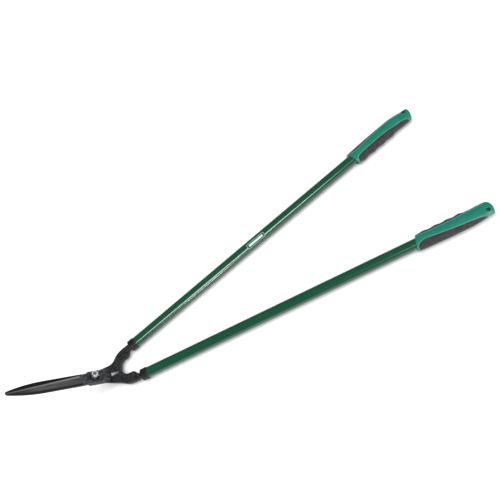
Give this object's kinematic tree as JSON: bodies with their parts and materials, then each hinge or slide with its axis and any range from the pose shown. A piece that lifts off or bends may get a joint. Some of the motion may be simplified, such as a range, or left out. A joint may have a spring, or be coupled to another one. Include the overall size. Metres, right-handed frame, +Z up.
{
  "type": "long-handled lawn shears",
  "caption": "Two-handed grass shears: pivoted blades bent up from long tubular handles with green and black grips and hang holes.",
  "frame": {"origin": "under the middle of the bounding box, on the surface that the handles lie on, with the blades shut", "axes": "+X runs from the blades back to the grips, +Y is the side of the right-hand grip, +Z is up out of the plane of the handles"},
  "size_m": [1.0822, 0.361, 0.1829],
  "materials": {
    "blade_coating": "dark grey low-friction coating on the ground blade, rough black powder coat on the boss and tang",
    "ferrule_plastic": "moulded black",
    "green_tube_paint": "glossy dark green enamel on steel tube",
    "sleeve_plastic": "natural nylon, hidden",
    "pin_steel": "plain",
    "grip_plastic": "teal green, satin moulding",
    "grip_rubber": "dark grey soft overmould, fine grain",
    "bright_plating": "bright plated",
    "black_washer": "blackened",
    "bush_bronze": "sintered bronze, hidden",
    "disc_plastic": "thin acetal sheet",
    "ring_nylon": "nylon"
  },
  "bodies": {
    "left_half": {"left_blade": "blade_coating", "left_ferrule": "ferrule_plastic", "left_tube": "green_tube_paint", "left_tang_sleeve": "sleeve_plastic", "left_tang_pin": "pin_steel", "left_grip_core": "grip_plastic", "left_palm_pad": "grip_rubber", "left_finger_pad": "grip_rubber", "pivot_bolt": "bright_plating", "friction_disc": "disc_plastic", "pivot_washer": "black_washer", "pivot_nut": "bright_plating", "nut_locking_ring": "ring_nylon"},
    "right_half": {"right_blade": "blade_coating", "right_ferrule": "ferrule_plastic", "right_tube": "green_tube_paint", "right_tang_sleeve": "sleeve_plastic", "right_tang_pin": "pin_steel", "right_grip_core": "grip_plastic", "right_palm_pad": "grip_rubber", "right_finger_pad": "grip_rubber", "pivot_bush": "bush_bronze"}
  },
  "joints": [
    {"name": "blade_pivot", "type": "hinge", "parent": "left_half", "child": "right_half", "pos_m": [-0.3929, 0, 0.04906], "axis": [0.6691, 0, 0.7431], "range_deg": [0, 50]}
  ]
}
